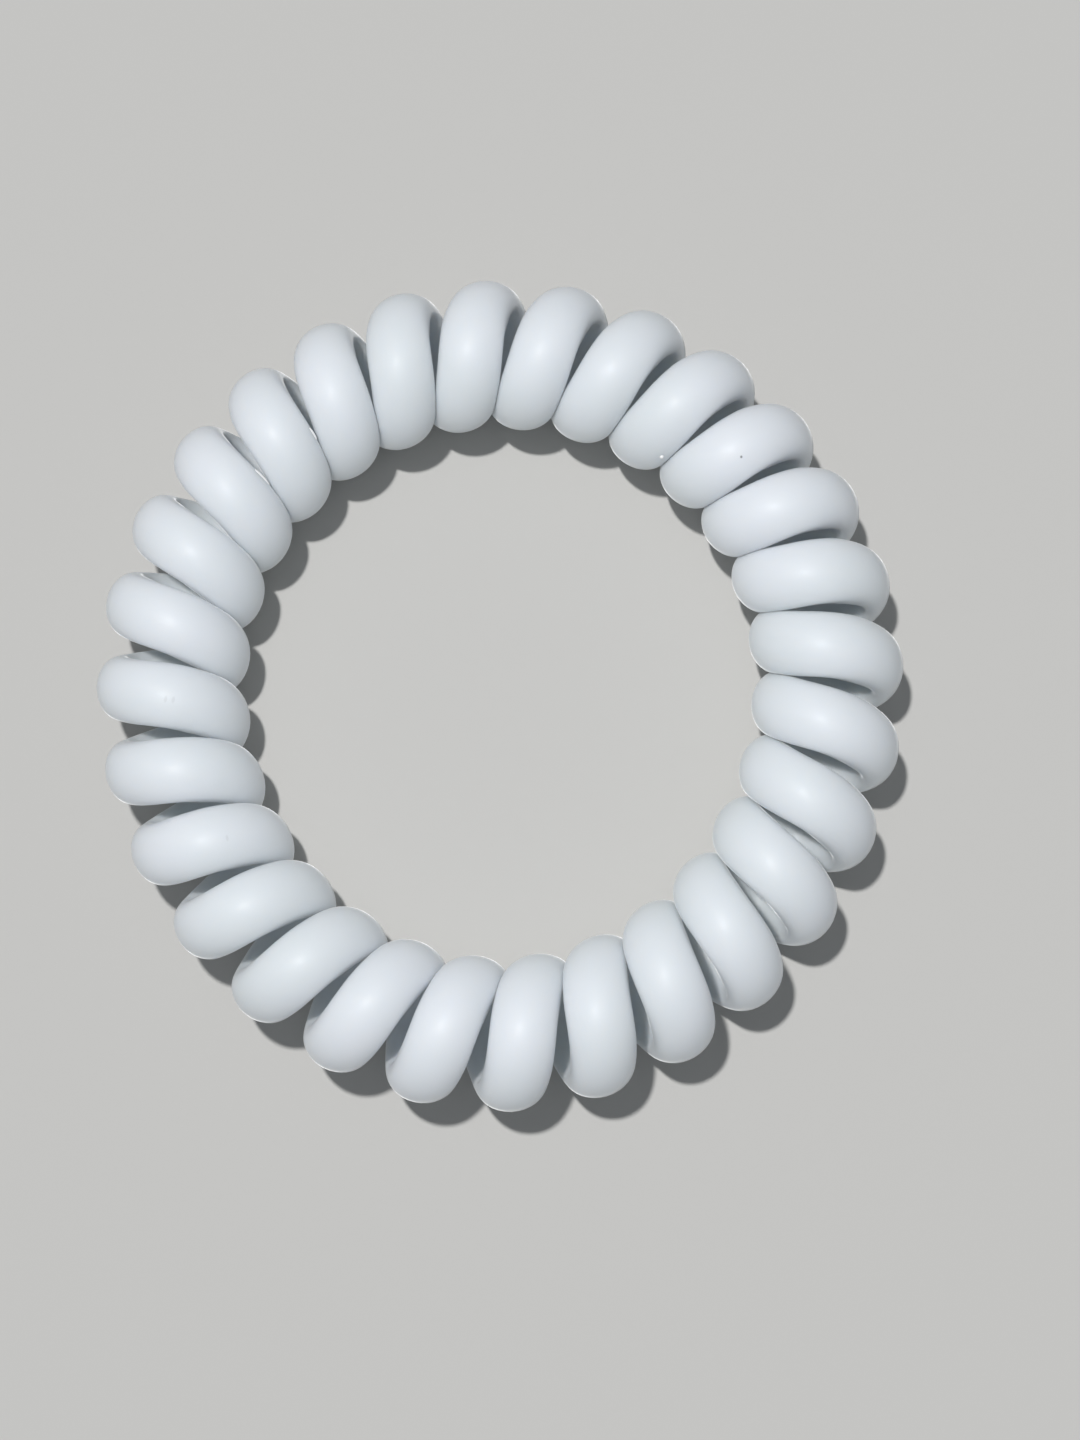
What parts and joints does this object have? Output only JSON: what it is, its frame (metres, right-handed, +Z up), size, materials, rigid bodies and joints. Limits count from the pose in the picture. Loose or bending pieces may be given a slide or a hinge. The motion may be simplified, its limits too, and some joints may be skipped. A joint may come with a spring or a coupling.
{
  "type": "spiral hair tie",
  "caption": "Springy coil hair tie: a frosted translucent plastic strand of oval section, wound into a hollow coil and closed into a ring that stretches round a ponytail or wrist.",
  "frame": {"origin": "on the surface that the ring lies on, under the middle of the ring's box", "axes": "+Z up, through the ring's opening; +Y along the ring's slightly longer way, towards the top of the picture; +X to the right of the picture"},
  "size_m": [0.0536, 0.0554, 0.0098],
  "materials": {
    "frosted_strand": "frosted translucent bluish-white elastomer with a soft satin sheen"
  },
  "bodies": {
    "root": {"coil": "frosted_strand"}
  },
  "joints": []
}
